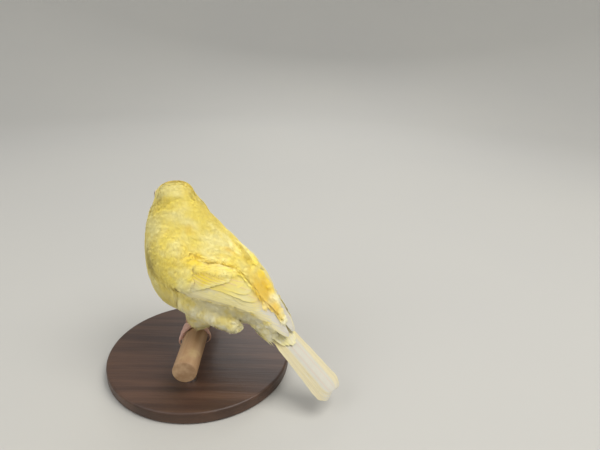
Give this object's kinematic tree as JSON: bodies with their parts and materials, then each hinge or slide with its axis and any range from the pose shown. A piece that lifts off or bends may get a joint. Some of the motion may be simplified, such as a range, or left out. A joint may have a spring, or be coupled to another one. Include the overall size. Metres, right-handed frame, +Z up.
{
  "type": "bird figure",
  "caption": "Life-size yellow canary gripping a short wooden perch, head turned to its right, held up by a plain round display stand.",
  "frame": {"origin": "centre of the stand base's underside", "axes": "+Z up; the perch runs along Y, and the bird's tail points towards +X and -Y"},
  "size_m": [0.1159, 0.092, 0.0963],
  "materials": {
    "plumage": "soft small body feathers, lemon yellow frosted with cream",
    "flight": "smooth wing and tail feathers, cream with yellow edges",
    "horn": "satin pale pinkish horn",
    "bare_skin": "scaly pinkish bare skin",
    "eye": "glossy near-black",
    "perch_wood": "worn bare tan dowel",
    "stand_wood": "dark stained, satin",
    "stand_steel": "brushed"
  },
  "bodies": {
    "root": {"torso": "plumage", "neck": "plumage", "head": "plumage", "bill_upper": "horn", "bill_lower": "horn", "tail": "flight", "eye_left": "eye", "wing_left": "flight", "thigh_left": "plumage", "shank_left": "bare_skin", "foot_left": "bare_skin", "claw_left_inner": "horn", "claw_left_middle": "horn", "claw_left_outer": "horn", "claw_left_hind": "horn", "eye_right": "eye", "wing_right": "flight", "thigh_right": "plumage", "shank_right": "bare_skin", "foot_right": "bare_skin", "claw_right_inner": "horn", "claw_right_middle": "horn", "claw_right_outer": "horn", "claw_right_hind": "horn", "stand_base": "stand_wood", "perch": "perch_wood", "stand_rod_front": "stand_steel", "stand_rod_back": "stand_steel"}
  },
  "joints": []
}
